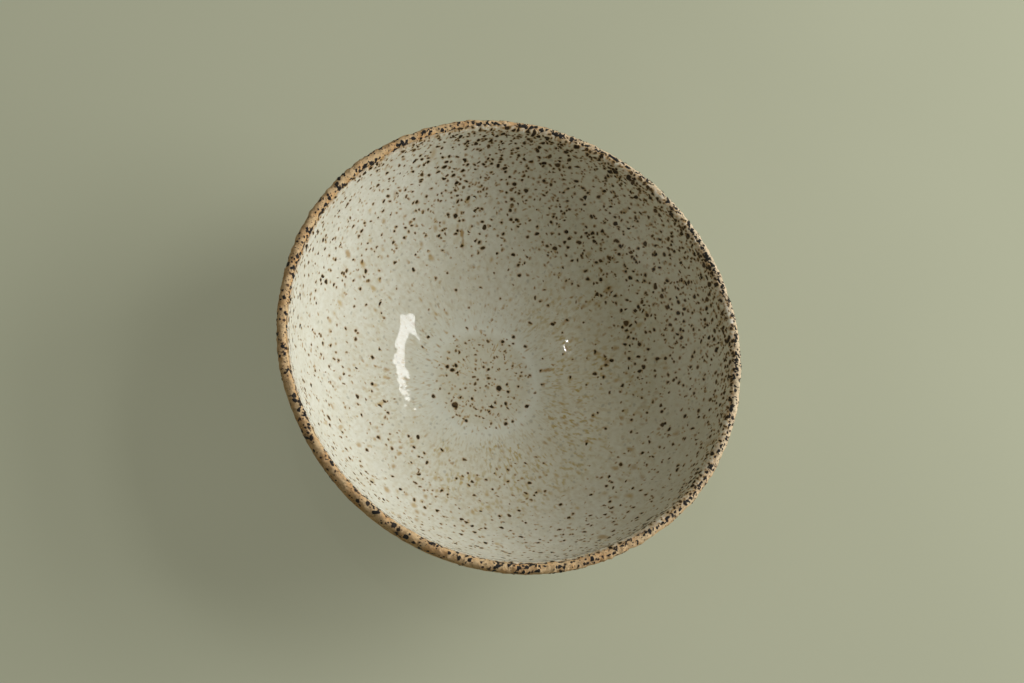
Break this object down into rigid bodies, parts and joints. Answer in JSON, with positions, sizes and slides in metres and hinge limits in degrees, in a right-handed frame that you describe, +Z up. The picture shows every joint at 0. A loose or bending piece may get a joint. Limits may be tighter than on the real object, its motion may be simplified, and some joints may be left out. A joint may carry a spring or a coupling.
{
  "type": "bowl",
  "caption": "Hand-thrown stoneware bowl: raw speckled clay outside and on the rounded lip, glossy white speckled glaze inside, on a low foot ring.",
  "frame": {"origin": "on the bowl's axis, on the surface that its foot ring stands on", "axes": "+Z up along the axis of the turned form; -Y is the side of the lip nearest the camera in the picture"},
  "size_m": [0.22, 0.22, 0.0861],
  "materials": {
    "raw_clay": "matt toasted stoneware with blue-black manganese specks and small pits",
    "white_glaze": "glossy off-white glaze with black and tan specks",
    "foot_clay": "matt stoneware, rubbed smooth on the standing face"
  },
  "bodies": {
    "root": {"stoneware_body": "raw_clay", "inner_glaze": "white_glaze", "foot_ring": "foot_clay"}
  },
  "joints": []
}
